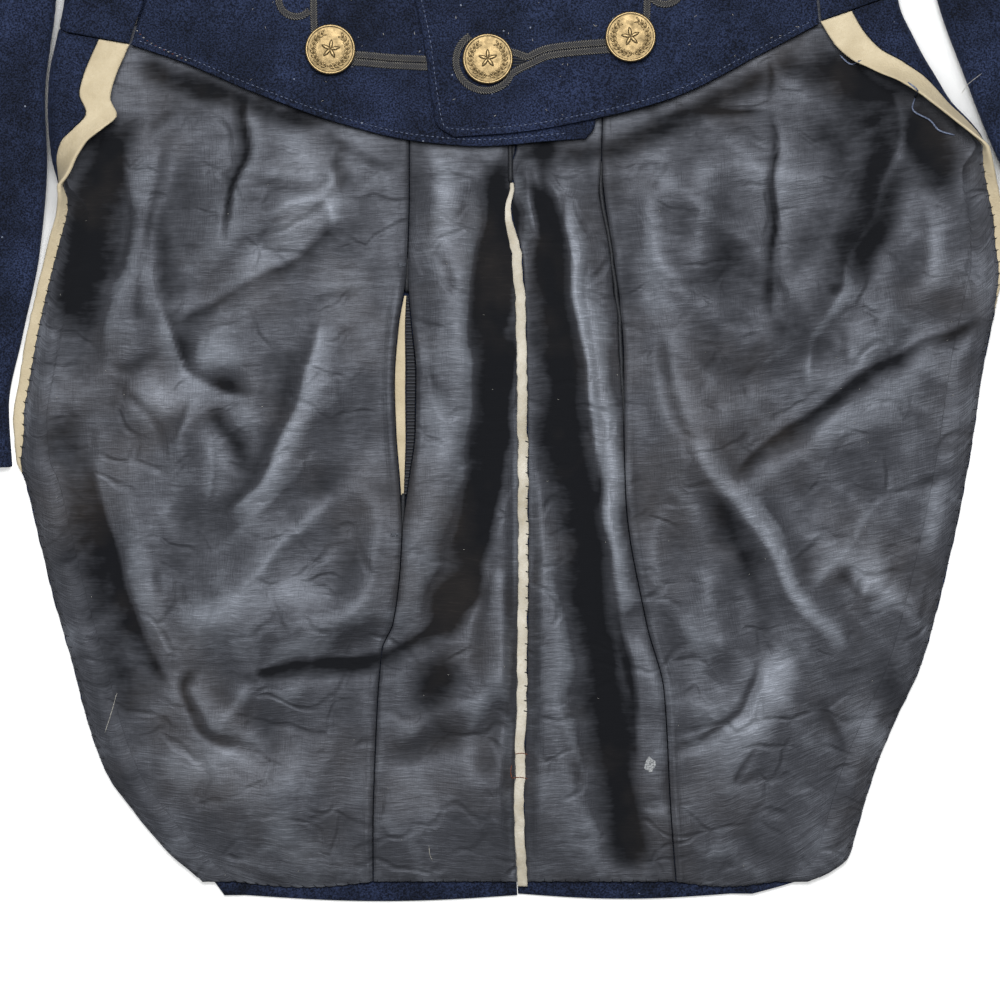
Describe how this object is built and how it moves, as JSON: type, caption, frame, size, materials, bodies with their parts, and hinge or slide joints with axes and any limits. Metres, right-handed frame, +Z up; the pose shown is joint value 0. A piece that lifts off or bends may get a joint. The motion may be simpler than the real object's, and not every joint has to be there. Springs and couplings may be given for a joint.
{
  "type": "military tailcoat",
  "caption": "Navy wool military tailcoat laid flat, buttoned and braided front, standing collar, tails spread to show a black lining with cream edging.",
  "frame": {"origin": "middle of the underside, on the surface the coat lies on", "axes": "+Z up from that surface, +Y from the tails to the collar, -X towards the wearer's right"},
  "size_m": [0.792, 0.8894, 0.0219],
  "materials": {
    "navy_broadcloth": "napped wool",
    "black_lining": "polished cotton",
    "black_twill": "ribbed twill",
    "cream_broadcloth": "napped wool",
    "black_braid": "mohair soutache",
    "gilt_brass": "aged gilt"
  },
  "bodies": {
    "root": {"tail_right": "navy_broadcloth", "tail_left": "navy_broadcloth", "side_body_right": "navy_broadcloth", "side_body_left": "navy_broadcloth", "back_right": "navy_broadcloth", "back_left": "navy_broadcloth", "front_right": "navy_broadcloth", "front_left": "navy_broadcloth", "top_sleeve_right": "navy_broadcloth", "under_sleeve_right": "navy_broadcloth", "top_sleeve_left": "navy_broadcloth", "under_sleeve_left": "navy_broadcloth", "collar": "navy_broadcloth", "lining_right_front": "black_lining", "lining_right_back": "black_lining", "lining_left_front": "black_lining", "lining_left_back": "black_lining", "pocket_facing": "black_twill", "band_right": "cream_broadcloth", "band_left": "cream_broadcloth", "vent_edging": "cream_broadcloth", "pocket_bag": "cream_broadcloth", "braid_right_1": "black_braid", "braid_left_1": "black_braid", "button_right_1": "gilt_brass", "button_middle_1": "gilt_brass", "button_left_1": "gilt_brass", "braid_right_2": "black_braid", "braid_left_2": "black_braid", "button_right_2": "gilt_brass", "button_middle_2": "gilt_brass", "button_left_2": "gilt_brass", "braid_right_3": "black_braid", "braid_left_3": "black_braid", "button_right_3": "gilt_brass", "button_middle_3": "gilt_brass", "button_left_3": "gilt_brass", "braid_right_4": "black_braid", "braid_left_4": "black_braid", "button_right_4": "gilt_brass", "button_middle_4": "gilt_brass", "button_left_4": "gilt_brass", "braid_right_5": "black_braid", "braid_left_5": "black_braid", "button_right_5": "gilt_brass", "button_middle_5": "gilt_brass", "button_left_5": "gilt_brass", "braid_right_6": "black_braid", "braid_left_6": "black_braid", "button_right_6": "gilt_brass", "button_middle_6": "gilt_brass", "button_left_6": "gilt_brass", "braid_right_7": "black_braid", "braid_left_7": "black_braid", "button_right_7": "gilt_brass", "button_middle_7": "gilt_brass", "button_left_7": "gilt_brass"}
  },
  "joints": []
}
